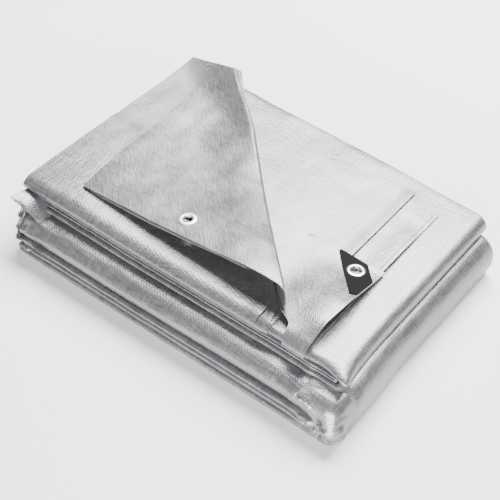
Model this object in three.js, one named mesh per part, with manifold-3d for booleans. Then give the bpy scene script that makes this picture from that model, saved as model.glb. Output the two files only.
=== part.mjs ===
// Folded tarp: a coated woven tarpaulin, folded across its width into a strip of plies, and the
// strip then folded back and forth into a lower and an upper bundle. The strip's end lies on top,
// with its hem, a black corner patch and two eyelets, and one corner of it is turned back.
//
// Frame: millimetres, +Z up, X along the length, Y along the width with the open folds at -Y.
// The origin is the middle of the foot of the bundle, on the ground.

import * as THREE from 'three';
import { mergeVertices } from 'three/addons/utils/BufferGeometryUtils.js';
import Module from 'manifold-3d';

const wasm = await Module();
wasm.setup();

// Cloth
const PLY = 1.2;            // a ply of cloth, drawn thicker than the real 0.3 mm sheet
const HEM = 1.6;            // the doubled cloth of a hem
const PATCH = 1.0;          // the moulded corner patch
const APART = 0.35;         // clearance between pieces and between loose plies

// Heights of the plies' middles in each pass of the strip. The strip's section is one length of
// cloth: a free inner ply, an inner ply, the outer ply, and three more. Each pass turns it over.
const PASSES = [
  { name: 'foot',  freeInner: 5.6,  inner: 3.2,  outer: 0.6,  third: 8.4,  fourth: 10.4, fifth: 16.4 },
  { name: 'bulge', freeInner: 36,   inner: 46,   outer: 56,   third: 26,   fourth: 24,   fifth: 18.2 },
  { name: 'waist', freeInner: 61.4, inner: 59.6, outer: 57.8, third: 63.2, fourth: 65,   fifth: 67 },
  { name: 'top',   freeInner: 76,   inner: 79.6, outer: 83.4, third: 72.4, fourth: 70.6, fifth: 68.8 },
];

// Tips of the front folds in Y, and how deep each fold's round is, for the same passes.
const FRONTS = [
  { innerTip: -158, outerTip: -171.4, outerDeep: 5,   fifthTip: -170.4, fifthDeep: 4 },
  { innerTip: -140, outerTip: -170.6, outerDeep: 24,  fifthTip: -170,   fifthDeep: 4.5 },
  { innerTip: -128, outerTip: -141.4, outerDeep: 3.6, fifthTip: -137.6, fifthDeep: 1 },
  { innerTip: -118, outerTip: -136,   outerDeep: 11,  fifthTip: -136.4, fifthDeep: 0.9 },
];

// Back folds and the two free edges inside the strip, in Y.
const BACKS = [
  { outerTip: 171, outerDeep: 1.3, thirdTip: 168, freeInner: 150, freeFifth: 160 },
  { outerTip: 172, outerDeep: 6,   thirdTip: 167, freeInner: 152, freeFifth: 158 },
  { outerTip: 171, outerDeep: 0.9, thirdTip: 169, freeInner: 154, freeFifth: 162 },
  { outerTip: 173, outerDeep: 2.4, thirdTip: 168, freeInner: 150, freeFifth: 160 },
];

// Where the strip starts, turns and stops along X, and how far a turn bulges for its height.
const START_X = -233;
const TURNS = [
  { name: 'lower right', x: 216,  side: 1,  bulge: 0.84 },
  { name: 'left',        x: -225, side: -1, bulge: 0.78 },
  { name: 'upper right', x: 206,  side: 1,  bulge: 1.25 },
];
const STOP_X = -240;
const FLAT_STEPS = 6;
const TURN_STEPS = 8;

// Sheets of the strip's end that lie on the top pass, from the lowest: where each ends on the
// right, its back edge, and how low it reaches over the front fold.
const END_SHEETS = [
  { name: 'first end ply',  end: 130, back: 150, hang: 74.5 },
  { name: 'second end ply', end: 130, back: 12,  hang: 75.5 },
  { name: 'turned ply',     end: 116, back: -70, hang: 77 },
];
const ROOT = 0.8;           // an end sheet starts as a thin root inside the ply below it
const ROOT_LONG = 14;
const ROOT_APART = 1.4;     // the turns of the end sheets lie this far apart
const HEM_IN = 130.35;      // inner edge of the hem strips, in X
const HEM_OUT = 173;        // the strip's end
const CORNER_OUT = 176;     // end of the second ply's hem, which holds the corner eyelet
const HEM_BACK = 138;       // back edge of the first ply's hem
const CORNER_BACK = 13;     // the tarp's own edge on the second ply
const HEM_HANG = { end: 74.5, corner: 76 };   // how low the hems reach over the front fold

// Turned corner: the 45 degree fold runs along x + y = FOLD_LINE.
const FOLD_LINE = 10;
const FOLD_NEAR = -113;     // Y where the roll of the fold starts at the front
const FOLD_FAR = 172;       // Y of the roll's far tip
const ROLL = { near: 17, middle: 8, far: 11.5 };  // half the roll's height along the fold
const ROLL_OUT = 5;         // half its width: the roll is flatter from side to side
const TURNED_LEFT = -180;   // left edge of the turned corner, where it meets the near edge
const TURNED_SLANT = 0.079; // the left edge runs out to the left this much
const TURNED_NEAR = -105;   // its near edge, in Y
const TURNED_LONG = 212;    // from the fold to the corner
const LIFT = 34;            // how far the near edge stands off the top
const LIFT_WIDE = 85;       // distance over which it comes down again
const TURNED_REST = 90.6;   // middle of the sheet where it lies down again
const TURNED_SPRING = 1.6;  // what the fold still holds it up there
const ROLL_START = 87.2;    // height of the cloth under the roll at the back

// Eyelets
const EYELET_OUT = 23.5;    // flange diameter
const EYELET_HOLE = 12.6;   // clear hole
const EYELET_BARREL = 15;   // hole in the cloth that the barrel fills, less its clearance
const EYELET_RISE = 1.5;    // flange height above the cloth
const EYELET_SIDES = 28;
const EYELET_END = { x: 149, y: -5.4 };
const EYELET_TURNED = { x: -38.6, y: -80.5 };

// Corner patch: two legs from the tarp's corner, with the corner itself cut off.
const PATCH_LEG_X = 62;
const PATCH_LEG_Y = 58;
const PATCH_CUT = 21;
const PATCH_IN = 1;         // the patch's edges lie this far inside the hem's
const PATCH_ABOVE = APART + 0.25;

const vec = (x, y, z) => new THREE.Vector3(x, y, z);
const mix = (a, b, t) => a + (b - a) * t;
const smooth = (t) => t * t * (3 - 2 * t);
const bump = (t, mid, wide) => Math.exp(-(((t - mid) / wide) ** 2));

// The whole bundle is a little out of square. The foot stays flat.
function relax(p) {
  const high = p.z / 84;
  const x = p.x + 0.034 * p.y * high * smooth(THREE.MathUtils.clamp(0.5 - p.x / 400, 0, 1))
    - 0.018 * p.y * smooth(THREE.MathUtils.clamp(p.x / 220, 0, 1))
    + 6 * bump(p.y, -150, 60) * bump(p.z, 62, 26) * smooth(THREE.MathUtils.clamp(p.x / 220, 0, 1));
  const y = p.y - 0.011 * p.x + 1.6 * Math.sin(p.x / 95) * bump(p.z, 40, 25);
  const z = p.z + high * (0.8 * Math.sin(p.x / 70 + 1) * Math.sin(p.y / 80) + 0.6 * Math.sin(p.x / 41));
  return vec(x, y, z);
}

// A fold's round from height a to height b, tip first reached at the middle; side is -1 at the front.
function foldRound(tip, deep, a, b, side, steps) {
  const points = [];
  for (let i = 1; i < steps; i++) {
    const turn = (Math.PI * i) / steps;
    const y = tip - side * deep * (1 - Math.sin(turn));
    points.push({ y, z: mix(a, b, (1 - Math.cos(turn)) / 2) });
  }
  return points;
}

function straight(y0, y1, z, steps) {
  return Array.from({ length: steps + 1 }, (_, i) => ({ y: mix(y0, y1, i / steps), z }));
}

// Middle line of the strip's section in one pass, from the free inner ply to the fifth ply.
function sectionLine(ply, front, back) {
  const ROUND = 4;
  const BIG_ROUND = 6;
  const FLAT = 3;
  const innerHalf = Math.abs(ply.freeInner - ply.inner) / 2;
  const thirdHalf = Math.abs(ply.third - ply.fourth) / 2;
  const innerDeep = Math.min(innerHalf, 5);
  const frontInner = front.innerTip + innerDeep;
  const frontOuter = front.outerTip + front.outerDeep;
  const frontFifth = front.fifthTip + front.fifthDeep;
  const backOuter = back.outerTip - back.outerDeep;
  const backThird = back.thirdTip - thirdHalf;
  return [
    ...straight(back.freeInner, frontInner, ply.freeInner, FLAT),
    ...foldRound(front.innerTip, innerDeep, ply.freeInner, ply.inner, -1, ROUND),
    ...straight(frontInner, backOuter, ply.inner, FLAT),
    ...foldRound(back.outerTip, back.outerDeep, ply.inner, ply.outer, 1, ROUND),
    ...straight(backOuter, frontOuter, ply.outer, FLAT),
    ...foldRound(front.outerTip, front.outerDeep, ply.outer, ply.third, -1, BIG_ROUND),
    ...straight(frontOuter, backThird, ply.third, FLAT),
    ...foldRound(back.thirdTip, thirdHalf, ply.third, ply.fourth, 1, ROUND),
    ...straight(backThird, frontFifth, ply.fourth, FLAT),
    ...foldRound(front.fifthTip, front.fifthDeep, ply.fourth, ply.fifth, -1, ROUND),
    ...straight(frontFifth, back.freeFifth, ply.fifth, FLAT),
  ];
}

// The closed outline of a line of cloth of the given thickness. flip says which way up it lies.
function outlineOf(line, thick, flip) {
  const sides = [1, -1].map((side) => line.map((p, i) => {
    const before = line[Math.max(i - 1, 0)];
    const after = line[Math.min(i + 1, line.length - 1)];
    const dy = after.y - before.y;
    const dz = after.z - before.z;
    const long = Math.hypot(dy, dz);
    const out = (side * flip * thick) / 2 / long;
    return { y: p.y - dz * out, z: p.z + dy * out };
  }));
  return [...sides[0], ...sides[1].reverse()];
}

// A closed solid from rings of points, all of one length, with flat ends.
function loft(rings) {
  const size = rings[0].length;
  const positions = rings.flat().flatMap((p) => [p.x, p.y, p.z]);
  const index = [];
  for (let r = 0; r + 1 < rings.length; r++) {
    for (let i = 0; i < size; i++) {
      const a = r * size + i;
      const b = r * size + ((i + 1) % size);
      index.push(a, b, b + size, a, b + size, a + size);
    }
  }
  const half = size / 2;
  const last = (rings.length - 1) * size;
  for (let i = 0; i + 1 < half; i++) {
    const far = size - 1 - i;
    index.push(i, far, i + 1, far, far - 1, i + 1);
    index.push(last + i, last + i + 1, last + far, last + far, last + i + 1, last + far - 1);
  }
  const geometry = new THREE.BufferGeometry();
  geometry.setAttribute('position', new THREE.Float32BufferAttribute(positions, 3));
  geometry.setIndex(index);
  return facingOut(geometry);
}

function facingOut(geometry) {
  const at = geometry.attributes.position;
  const index = geometry.index.array;
  const corner = (i) => vec(at.getX(index[i]), at.getY(index[i]), at.getZ(index[i]));
  let volume = 0;
  for (let i = 0; i < index.length; i += 3) {
    volume += corner(i).dot(corner(i + 1).cross(corner(i + 2)));
  }
  if (volume < 0) {
    for (let i = 0; i < index.length; i += 3) {
      [index[i + 1], index[i + 2]] = [index[i + 2], index[i + 1]];
    }
  }
  return geometry;
}

// Cloth folded back and forth along X: flat passes joined by round turns, one outline per pass.
function backAndForth(outlines, startX, turns, stopX, flatSteps, turnSteps) {
  const rings = [];
  let x = startX;
  outlines.forEach((outline, pass) => {
    const turn = turns[pass];
    const endX = turn ? turn.x : stopX;
    const first = pass === 0 ? 0 : 1;
    for (let i = first; i <= flatSteps; i++) {
      rings.push(outline.map((p) => vec(mix(x, endX, i / flatSteps), p.y, p.z)));
    }
    x = endX;
    if (!turn) return;
    const next = outlines[pass + 1];
    for (let i = 1; i <= turnSteps; i++) {
      const angle = (Math.PI * i) / turnSteps;
      const share = smooth(i / turnSteps);
      rings.push(outline.map((p, j) => {
        const half = (next[j].z - p.z) / 2;
        const out = turn.side * turn.bulge * Math.abs(half) * Math.sin(angle);
        return vec(x + out, mix(p.y, next[j].y, share), p.z + half * (1 - Math.cos(angle)));
      }));
    }
  });
  return loft(rings.map((ring) => ring.map(relax)));
}

// The line of a sheet that lies on the top pass at a given height above its outer ply, from its
// back edge over the front fold and down to its hanging edge.
function topLine(above, backY, hang, flatSteps) {
  const ply = PASSES[3];
  const front = FRONTS[3];
  const half = (ply.outer - ply.third) / 2;
  const middle = (ply.outer + ply.third) / 2;
  const flatEnd = front.outerTip + front.outerDeep;
  const line = straight(backY, flatEnd, ply.outer + above, flatSteps);
  const STEPS = 5;
  const lowest = Math.asin((middle - hang) / (half + above));
  for (let i = 1; i <= STEPS; i++) {
    const angle = mix(Math.PI / 2, -lowest, i / STEPS);
    line.push({
      y: flatEnd - (front.outerDeep + above) * Math.cos(angle),
      z: middle + (half + above) * Math.sin(angle),
    });
  }
  return line;
}

function solidOf(geometry) {
  const bare = geometry.clone();
  bare.deleteAttribute('normal');
  bare.deleteAttribute('uv');
  const merged = mergeVertices(bare, 1e-4);
  return new wasm.Manifold(new wasm.Mesh({
    numProp: 3,
    vertProperties: new Float32Array(merged.attributes.position.array),
    triVerts: new Uint32Array(merged.index.array),
  }));
}

function geometryOf(solid) {
  const mesh = solid.getMesh();
  const geometry = new THREE.BufferGeometry();
  geometry.setAttribute('position', new THREE.Float32BufferAttribute(mesh.vertProperties, 3));
  geometry.setIndex(Array.from(mesh.triVerts));
  geometry.computeVertexNormals();
  return geometry;
}

// Heights of the end sheets' middles above the top pass's outer ply.
const firstAbove = PLY + APART + 0.1;
const hemAbove = PLY / 2 + APART + HEM / 2 + 0.05;
const secondAbove = firstAbove + PLY + APART;
const cornerAbove = hemAbove + HEM + APART;
const turnedAbove = secondAbove + PLY + APART;
const ABOVE = [firstAbove, secondAbove, turnedAbove];

function foldedCloth() {
  const outlines = PASSES.map((ply, i) => {
    const flip = i % 2 === 0 ? 1 : -1;
    return outlineOf(sectionLine(ply, FRONTS[i], BACKS[i]), PLY, flip);
  });
  const bundle = solidOf(backAndForth(outlines, START_X, TURNS, STOP_X, FLAT_STEPS, TURN_STEPS));
  return END_SHEETS.reduce((cloth, sheet, i) => cloth.add(solidOf(endSheet(sheet, i))), bundle);
}

// A ply of the strip's end: it starts inside the ply below it, turns over at the left and runs
// back to its end on the right.
function endSheet(sheet, i) {
  const STEPS = 3;
  const below = i === 0 ? 0 : ABOVE[i - 1];
  const rootBack = Math.min(sheet.back, 120) - 4;
  const rootHang = PASSES[3].outer + below - 0.4;
  const root = outlineOf(topLine(below, rootBack, rootHang, STEPS), ROOT, 1);
  const run = outlineOf(topLine(ABOVE[i], sheet.back, sheet.hang, STEPS), PLY, -1);
  const turn = { x: STOP_X - 1 - ROOT_APART * i, side: -1, bulge: 1 };
  return backAndForth([root, run], turn.x + ROOT_LONG, [turn], sheet.end, FLAT_STEPS, FLAT_STEPS);
}

// A hem strip across the end of the bundle.
function hemStrip(above, backY, hang, x0, x1, thick) {
  const line = outlineOf(topLine(above, backY, hang, 8), thick, 1);
  const STEPS = 3;
  const rings = [];
  for (let i = 0; i <= STEPS; i++) {
    rings.push(line.map((p) => relax(vec(mix(x0, x1, i / STEPS), p.y, p.z))));
  }
  return loft(rings);
}

// Middle surface of the turned corner. along runs from the near edge (0) to the far edge (1);
// row runs from the lip under the roll, round the roll and down the turned cloth to its corner.
const LIP_LONG = 9;
const LIP_ROWS = 1;
const ROLL_STEPS = 8;
const TURNED_ROWS = [10, 26, 46, 70, 98, 128, 160, 190, 208];   // distances from the fold
const TURNED_COLUMNS = 15;

function rollRadius(t) {
  return t < 0.5 ? mix(ROLL.near, ROLL.middle, smooth(t / 0.5)) : mix(ROLL.middle, ROLL.far, t * 2 - 1);
}

// Height of the cloth under the roll: it climbs over the second end ply and over the turned ply.
function lipHeight(y) {
  const BEFORE = 24;
  const WIDE = 18;
  const step = (edge) => smooth(THREE.MathUtils.clamp((edge + BEFORE - y) / WIDE, 0, 1));
  const rise = PLY + APART;
  return ROLL_START + rise * step(END_SHEETS[1].back) + rise * step(END_SHEETS[2].back);
}

function turnedPoint(row, along) {
  if (row <= LIP_ROWS + ROLL_STEPS) {
    const angle = row === 0 ? 0 : (Math.PI * (row - LIP_ROWS)) / ROLL_STEPS;
    const turnedShare = angle / Math.PI;
    const nearY = FOLD_NEAR + turnedShare * (TURNED_NEAR - FOLD_NEAR - 2);
    const farY = FOLD_FAR - turnedShare * 2;
    const y = mix(nearY, farY, along);
    const radius = rollRadius(along);
    const out = (row === 0 ? -LIP_LONG : ROLL_OUT * Math.sin(angle)) / Math.SQRT2;
    return vec(FOLD_LINE - y + out, y + out, lipHeight(y) + radius * (1 - Math.cos(angle)));
  }
  const away = TURNED_ROWS[row - LIP_ROWS - ROLL_STEPS - 1];
  const level = FOLD_LINE - Math.SQRT2 * away;
  const left = TURNED_LEFT + TURNED_SLANT * TURNED_NEAR;
  const farY = Math.min((level - left) / (1 - TURNED_SLANT), FOLD_FAR - 2);
  const y = mix(TURNED_NEAR, Math.max(farY, TURNED_NEAR + 3), along);
  const rollTop = lipHeight(y) + 2 * rollRadius(along);
  const down = smooth(THREE.MathUtils.clamp(away / 70, 0, 1));
  return vec(level - y, y, mix(rollTop, heightOfTurned(away, y), down));
}

// Height of the turned cloth away from the fold: it stands off the top along its near edge.
function heightOfTurned(away, y) {
  const up = TURNED_SPRING + LIFT * bump(y, TURNED_NEAR, LIFT_WIDE);
  return TURNED_REST + up * (1 - away / TURNED_LONG);
}

// A closed sheet from a grid of middle points, thickened along its own normals.
function sheetSolid(pointAt, rows, columns, thick) {
  const grid = Array.from({ length: rows }, (_, r) => (
    Array.from({ length: columns }, (_, c) => pointAt(r, c / (columns - 1)))));
  const normalAt = (r, c) => {
    const along = grid[r][Math.min(c + 1, columns - 1)].clone().sub(grid[r][Math.max(c - 1, 0)]);
    const across = grid[Math.min(r + 1, rows - 1)][c].clone().sub(grid[Math.max(r - 1, 0)][c]);
    return across.cross(along).normalize();
  };
  const rings = grid.map((line, r) => {
    const upper = line.map((p, c) => p.clone().addScaledVector(normalAt(r, c), thick / 2));
    const lower = line.map((p, c) => p.clone().addScaledVector(normalAt(r, c), -thick / 2));
    return [...upper, ...lower.reverse()];
  });
  return loft(rings);
}

// An eyelet: a domed flange on the cloth and the barrel through it, as a turned ring. The cloth
// reaches below and above the ring's own middle by the two given depths.
function eyelet(clothBelow, clothAbove) {
  const inner = EYELET_HOLE / 2;
  const outer = EYELET_OUT / 2;
  const barrel = EYELET_BARREL / 2 - APART;
  const low = -clothBelow;
  const high = clothAbove + APART;
  const profile = [
    [barrel, low], [barrel, high], [outer, high], [outer - 0.6, high + EYELET_RISE * 0.7],
    [outer - 3, high + EYELET_RISE], [inner + 1.2, high + EYELET_RISE * 0.8], [inner, high],
    [inner, low],
  ].map(([r, z]) => new THREE.Vector2(r, z));
  profile.push(profile[0].clone());
  const ring = new THREE.LatheGeometry(profile, EYELET_SIDES);
  ring.rotateX(Math.PI / 2);
  ring.deleteAttribute('normal');
  ring.deleteAttribute('uv');
  return facingOut(mergeVertices(ring, 1e-4));
}

function place(geometry, at, up) {
  const turn = new THREE.Quaternion().setFromUnitVectors(vec(0, 0, 1), up.clone().normalize());
  return geometry.applyQuaternion(turn).translate(at.x, at.y, at.z);
}

function hole(at, up) {
  const LONG = 14;
  const pin = new THREE.CylinderGeometry(EYELET_BARREL / 2, EYELET_BARREL / 2, LONG, EYELET_SIDES);
  pin.rotateX(Math.PI / 2);
  return solidOf(place(pin, at, up));
}

// Places and directions of the two eyelets.
const top = PASSES[3].outer;
const endAt = relax(vec(EYELET_END.x, EYELET_END.y, top + cornerAbove));
const endUp = vec(0, 0, 1);
const onTurned = (x, y) => relax(vec(x, y, heightOfTurned((FOLD_LINE - x - y) / Math.SQRT2, y)));
const turnedAt = onTurned(EYELET_TURNED.x, EYELET_TURNED.y);
const NEARBY = 5;
const alongX = onTurned(EYELET_TURNED.x + NEARBY, EYELET_TURNED.y).sub(turnedAt);
const alongY = onTurned(EYELET_TURNED.x, EYELET_TURNED.y + NEARBY).sub(turnedAt);
const turnedUp = alongX.cross(alongY);

// The corner patch lies on the corner's hem: a thin plate with its corner cut off.
function cornerPatch() {
  const cornerX = CORNER_OUT - PATCH_IN;
  const cornerY = CORNER_BACK - PATCH_IN;
  const outline = new THREE.Shape([
    new THREE.Vector2(cornerX - PATCH_LEG_X, cornerY - 1),
    new THREE.Vector2(cornerX - PATCH_LEG_X + 6, cornerY + 0.5),
    new THREE.Vector2(cornerX - PATCH_CUT, cornerY),
    new THREE.Vector2(cornerX, cornerY - PATCH_CUT),
    new THREE.Vector2(cornerX - 0.5, cornerY - PATCH_LEG_Y + 4),
    new THREE.Vector2(cornerX - 8, cornerY - PATCH_LEG_Y),
  ].reverse());
  const plate = new THREE.ExtrudeGeometry(outline, { depth: PATCH, bevelEnabled: false });
  plate.translate(0, 0, top + cornerAbove + HEM / 2 + PATCH_ABOVE);
  const at = plate.attributes.position;
  for (let i = 0; i < at.count; i++) {
    const p = relax(vec(at.getX(i), at.getY(i), at.getZ(i)));
    at.setXYZ(i, p.x, p.y, p.z);
  }
  return plate;
}

const tarp = new THREE.Group();

function add(name, geometry, colour, roughness, metalness = 0) {
  geometry.computeVertexNormals();
  const material = new THREE.MeshStandardMaterial({ color: colour, roughness, metalness });
  const mesh = new THREE.Mesh(geometry, material);
  mesh.name = name;
  tarp.add(mesh);
}

const CLOTH_GREY = 0xc4c6c8;
const PATCH_BLACK = 0x3a3a3b;
const STEEL = 0xdcdddd;

add('folded_cloth', geometryOf(foldedCloth()), CLOTH_GREY, 0.45);

const endHem = hemStrip(hemAbove, HEM_BACK, HEM_HANG.end, HEM_IN, HEM_OUT, HEM);
add('end_hem', endHem, CLOTH_GREY, 0.45);

const cornerHem = hemStrip(cornerAbove, CORNER_BACK, HEM_HANG.corner, HEM_IN, CORNER_OUT, HEM);
add('corner_hem', geometryOf(solidOf(cornerHem).subtract(hole(endAt, endUp))), CLOTH_GREY, 0.45);

const turnedRows = LIP_ROWS + ROLL_STEPS + 1 + TURNED_ROWS.length;
const onBundle = (row, along) => relax(turnedPoint(row, along));
const turned = sheetSolid(onBundle, turnedRows, TURNED_COLUMNS, HEM);
add('turned_corner', geometryOf(solidOf(turned).subtract(hole(turnedAt, turnedUp))), CLOTH_GREY, 0.45);

const patchAt = endAt.clone().setZ(endAt.z + HEM / 2 + PATCH);
add('corner_patch', geometryOf(solidOf(cornerPatch()).subtract(hole(patchAt, endUp))), PATCH_BLACK, 0.6);

const overPatch = HEM / 2 + PATCH + PATCH_ABOVE;
add('eyelet_corner', place(eyelet(HEM / 2, overPatch), endAt, endUp), STEEL, 0.25, 1);
add('eyelet_turned', place(eyelet(HEM / 2, HEM / 2), turnedAt, turnedUp), STEEL, 0.25, 1);

export default tarp;
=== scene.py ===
# Folded tarp: the cloth, hems, corner patch and eyelets that dress the frame, with floor, light
# and camera. Shapes are worked out in millimetres and written to the meshes in metres.

import math
from collections import namedtuple

import bmesh
import bpy
from mathutils import Matrix, Quaternion, Vector, noise


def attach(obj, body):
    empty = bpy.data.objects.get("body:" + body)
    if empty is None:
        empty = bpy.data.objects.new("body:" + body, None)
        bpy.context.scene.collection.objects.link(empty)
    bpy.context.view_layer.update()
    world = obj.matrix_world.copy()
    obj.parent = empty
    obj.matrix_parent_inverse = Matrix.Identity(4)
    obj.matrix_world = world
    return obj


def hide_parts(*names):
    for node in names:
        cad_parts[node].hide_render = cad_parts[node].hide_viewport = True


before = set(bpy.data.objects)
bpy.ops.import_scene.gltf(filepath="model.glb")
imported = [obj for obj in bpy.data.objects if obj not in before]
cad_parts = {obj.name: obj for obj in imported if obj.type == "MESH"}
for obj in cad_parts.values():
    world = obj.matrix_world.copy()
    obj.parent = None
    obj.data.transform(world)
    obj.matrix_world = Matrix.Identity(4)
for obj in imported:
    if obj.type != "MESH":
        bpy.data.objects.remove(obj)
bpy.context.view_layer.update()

MM = 0.001

# The bundle's own sizes in millimetres. They are the frame's, but the plies are a little thinner,
# and the loose end and the turned corner reach a little further or less far.
PLY = 1.0
HEM = 1.6
PATCH = 1.0
APART = 0.35        # clearance between loose plies
TOP_HEIGHT = 84.0

# The strip's section in each pass: its plies' heights, the tips of its front folds and of its
# back folds, and how deep each fold's round is.
Pass = namedtuple("Pass", "free_inner inner outer third fourth fifth")
PASSES = [
    Pass(free_inner=5.6, inner=3.2, outer=0.6, third=8.4, fourth=10.4, fifth=16.4),
    Pass(free_inner=36, inner=46, outer=56, third=26, fourth=24, fifth=18.2),
    Pass(free_inner=61.4, inner=59.6, outer=57.8, third=63.2, fourth=65, fifth=67),
    Pass(free_inner=76, inner=79.6, outer=83.4, third=72.4, fourth=70.6, fifth=68.8),
]
Front = namedtuple("Front", "inner_tip outer_tip outer_deep fifth_tip fifth_deep")
FRONTS = [
    Front(-158, -171.4, 5, -170.4, 4),
    Front(-140, -170.6, 24, -170, 4.5),
    Front(-128, -141.4, 3.6, -137.6, 1),
    Front(-118, -136, 11, -136.4, 0.9),
]
Back = namedtuple("Back", "outer_tip outer_deep third_tip free_inner free_fifth")
BACKS = [
    Back(171, 1.3, 168, 150, 160),
    Back(172, 6, 167, 152, 158),
    Back(171, 0.9, 169, 154, 162),
    Back(173, 2.4, 168, 150, 160),
]

# Where the strip starts, turns and stops along X, and how far a turn bulges for its height.
START_X = -233
Turn = namedtuple("Turn", "x side bulge")
TURNS = [Turn(216, 1, 0.84), Turn(-225, -1, 0.78), Turn(206, 1, 1.25)]
STOP_X = -242

# The strip's end, from the lowest ply: where each is cut on the right, its back edge, and how low
# it reaches over the front fold. The hem strips lie on its right end.
EndSheet = namedtuple("EndSheet", "end back hang")
END_SHEETS = [EndSheet(130, 150, 74.5), EndSheet(130, 12, 75.5), EndSheet(116, -70, 77)]
ROOT_LONG = 14      # how far each loose ply goes on below, from its turn at the left end
ROOT_APART = 1.4    # how much further to the left each turn is than the one below it
HEM_IN = 130.35
HEM_OUT = 173
CORNER_OUT = 176
HEM_BACK = 138
CORNER_BACK = 13
HEM_HANG = 74.5
CORNER_HANG = 76

# The turned corner: the 45 degree fold is the line x + y = FOLD_LINE, rolled loosely, and the
# turned cloth is lifted near its front edge.
FOLD_LINE = 10
FOLD_NEAR = -110
FOLD_FAR = 170
ROLL_NEAR = 17              # half the roll's height, at its near end, middle and far end
ROLL_MIDDLE = 8
ROLL_FAR = 11.5
TURNED_LEFT = -180
TURNED_SLANT = 22 / 277     # the turned cloth's left edge runs out to the left this much
TURNED_NEAR = -105
TURNED_LONG = 212           # how far from the roll the cloth comes down flat
LIFT = 34                   # how far the near edge stands up beside the roll
LIFT_WIDE = 85              # how far back the lift reaches
TURNED_REST = 90.6          # height where the cloth lies on the top ply
TURNED_SPRING = 1.6
ROLL_START = 87.2           # height of the ply that the roll comes out of

# The eyelets and the patch.
EYELET_HOLE = 12.6
EYELET_END = (149, -5.4)
EYELET_TURNED = (-38.6, -80.5)
PATCH_LEG_X = 62    # the patch's sides along the two edges of the tarp
PATCH_LEG_Y = 58
PATCH_CUT = 21      # how much of its outer corner is cut off
PATCH_IN = 1        # how far it lies inside the tarp's edges

# Heights of the loose plies' middles over the top pass.
FIRST_ABOVE = 1.65
HEM_ABOVE = 1.8
SECOND_ABOVE = 3.2
CORNER_ABOVE = 3.75
TURNED_ABOVE = 4.75
ABOVE = [FIRST_ABOVE, SECOND_ABOVE, TURNED_ABOVE]


def mix(a, b, t):
    return a + (b - a) * t


def clamp(t):
    return min(max(t, 0.0), 1.0)


def smooth(t):
    return t * t * (3 - 2 * t)


def ramp(t, low, high):
    return smooth(clamp((t - low) / (high - low)))


def bump(t, mid, wide):
    return math.exp(-(((t - mid) / wide) ** 2))


# How the bundle lies out of square: the share by which its ends and front run askew, how far the
# right end swells at the waist, and how far the near right corner of the top pass flares.
LEFT_SKEW = 0.034
RIGHT_SKEW = 0.018
FRONT_SKEW = 0.011
END_SWELL = 6
FRONT_SWAY = 1.6
FLARE_RIGHT = 10
FLARE_FRONT = 9


def relax(p):
    """The whole bundle is a little out of square, and its plies lie in low waves. The foot stays
    flat."""
    high = p.z / TOP_HEIGHT
    right = smooth(clamp(p.x / 220))
    left = smooth(clamp(0.5 - p.x / 400))
    x = p.x + LEFT_SKEW * p.y * high * left - RIGHT_SKEW * p.y * right
    x += END_SWELL * bump(p.y, -150, 60) * bump(p.z, 62, 26) * right
    y = p.y - FRONT_SKEW * p.x + FRONT_SWAY * math.sin(p.x / 95) * bump(p.z, 40, 25)
    flare = ramp(p.x, 190, 226) * ramp(-p.y, 108, 140) * bump(p.z, 79, 8)
    x += FLARE_RIGHT * flare
    y -= FLARE_FRONT * flare
    wave = 0.8 * math.sin(p.x / 70 + 1) * math.sin(p.y / 80) + 0.6 * math.sin(p.x / 41)
    wave += 0.6 * noise.noise(Vector((p.x / 52, p.y / 34, 0)))
    wave += 0.3 * noise.noise(Vector((p.x / 21, p.y / 27, 6)))
    return Vector((x, y, p.z + high * wave))


def eased(t):
    """Steps that are shorter towards both ends of a flat run."""
    return mix(t, smooth(t), 0.6)


def straight(y0, y1, z, steps):
    """A level stretch of the section."""
    return [(mix(y0, y1, eased(i / steps)), z) for i in range(steps + 1)]


def fold_round(tip, deep, a, b, side, steps):
    """The round of a fold from height a to b, with its tip on the given side."""
    line = []
    for i in range(1, steps):
        turn = math.pi * i / steps
        line.append((tip - side * deep * (1 - math.sin(turn)), mix(a, b, (1 - math.cos(turn)) / 2)))
    return line


def section_line(ply, front, back):
    """Middle line of the strip's section in one pass, as (y, z), and the name of each stretch."""
    inner_deep = min(abs(ply.free_inner - ply.inner) / 2, 5)
    third_half = abs(ply.third - ply.fourth) / 2
    front_inner = front.inner_tip + inner_deep
    front_outer = front.outer_tip + front.outer_deep
    front_fifth = front.fifth_tip + front.fifth_deep
    back_outer = back.outer_tip - back.outer_deep
    back_third = back.third_tip - third_half
    return [
        ("free inner", straight(back.free_inner, front_inner, ply.free_inner, 3)),
        ("inner fold", fold_round(front.inner_tip, inner_deep, ply.free_inner, ply.inner, -1, 5)),
        ("inner", straight(front_inner, back_outer, ply.inner, 4)),
        ("back fold", fold_round(back.outer_tip, back.outer_deep, ply.inner, ply.outer, 1, 8)),
        ("outer", straight(back_outer, front_outer, ply.outer, 18)),
        ("front fold", fold_round(front.outer_tip, front.outer_deep, ply.outer, ply.third, -1, 22)),
        ("third", straight(front_outer, back_third, ply.third, 4)),
        ("third fold", fold_round(back.third_tip, third_half, ply.third, ply.fourth, 1, 6)),
        ("fourth", straight(back_third, front_fifth, ply.fourth, 4)),
        ("fifth fold", fold_round(front.fifth_tip, front.fifth_deep, ply.fourth, ply.fifth, -1, 9)),
        ("fifth", straight(front_fifth, back.free_fifth, ply.fifth, 4)),
    ]


SQUARE = 0.4      # a turn rests on what is below it, so the lower half of its round is square


def turn_round(angle, up):
    """How far out a turn is at an angle, as a share of its bulge."""
    lower = angle < math.pi / 2 if up else angle > math.pi / 2
    return math.sin(angle) ** SQUARE if lower else math.sin(angle)


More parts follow.
